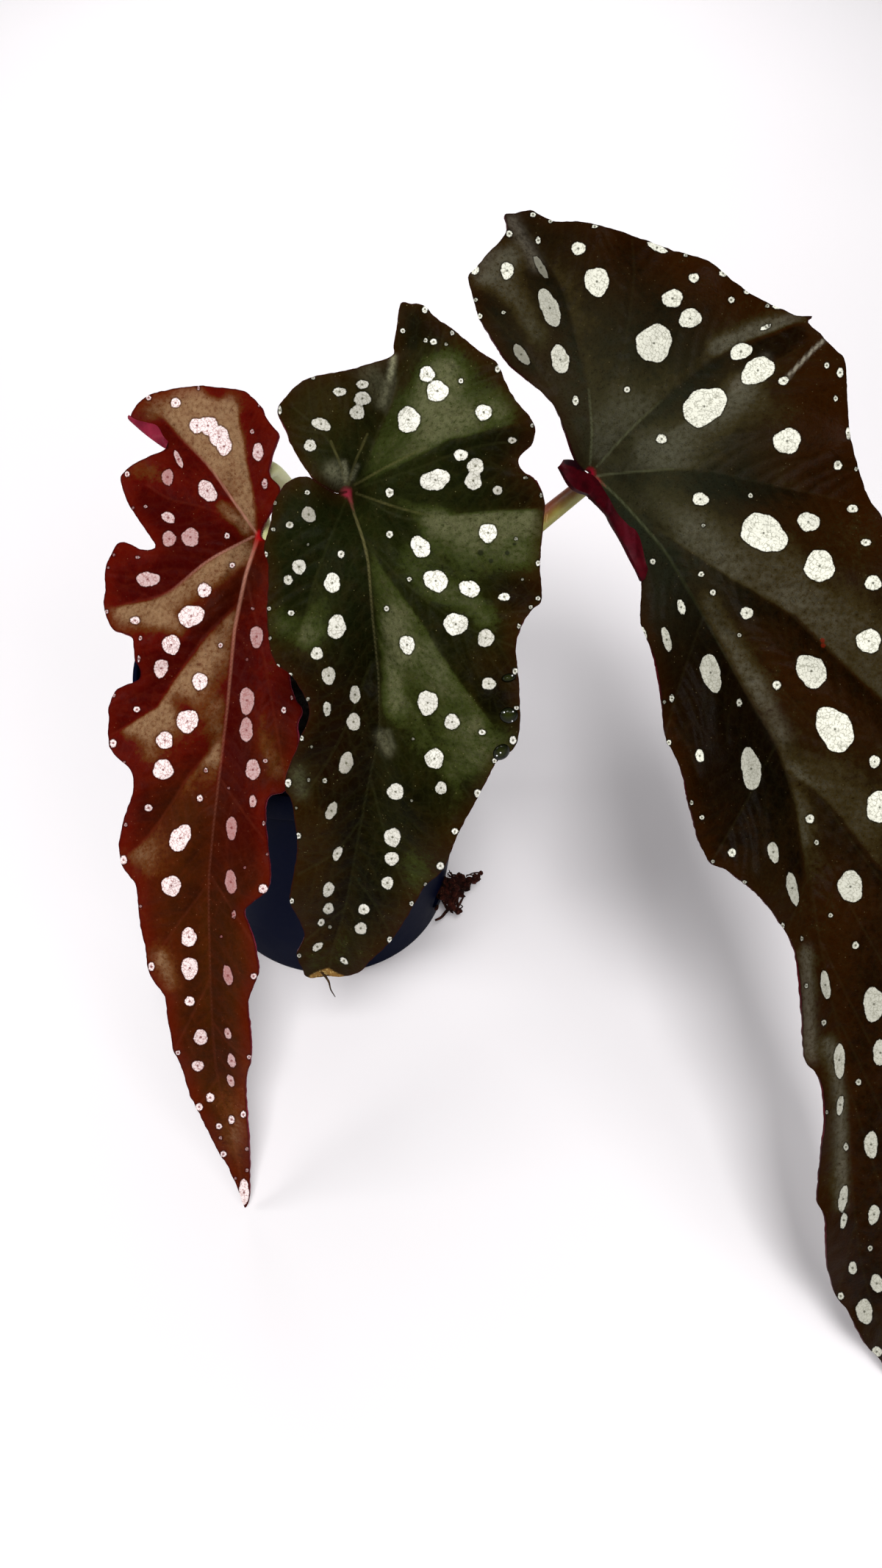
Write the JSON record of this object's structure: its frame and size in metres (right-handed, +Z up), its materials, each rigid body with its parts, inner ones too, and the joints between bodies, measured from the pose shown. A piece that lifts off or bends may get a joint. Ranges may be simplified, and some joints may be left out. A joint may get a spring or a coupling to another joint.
{
  "type": "potted begonia",
  "caption": "Angel-wing begonia with long hanging spotted leaves on a short cane, rooted in a small round plastic nursery pot.",
  "frame": {"origin": "centre of the pot's flat foot, on the surface that it stands on", "axes": "+Z up; the leaves hang towards -Y, the side the picture was taken from; +X is the picture's right"},
  "size_m": [0.1867, 0.1873, 0.1952],
  "materials": {
    "pot_plastic": "satin navy-black moulded plastic",
    "peat": "rough moist peat",
    "stem": "smooth fleshy stem, yellow-green to red-brown",
    "leaf_red": "satin deep red leaf with pale pink spots",
    "leaf_green": "satin olive leaf with white spots",
    "leaf_dark": "satin dark brown-olive leaf with greenish-white spots",
    "roots": "matte roots and peat"
  },
  "bodies": {
    "root": {"pot": "pot_plastic", "soil": "peat", "cane": "stem", "petiole_left": "stem", "petiole_center": "stem", "petiole_right": "stem", "leaf_left": "leaf_red", "leaf_center": "leaf_green", "leaf_right": "leaf_dark", "root_clump": "roots"}
  },
  "joints": []
}
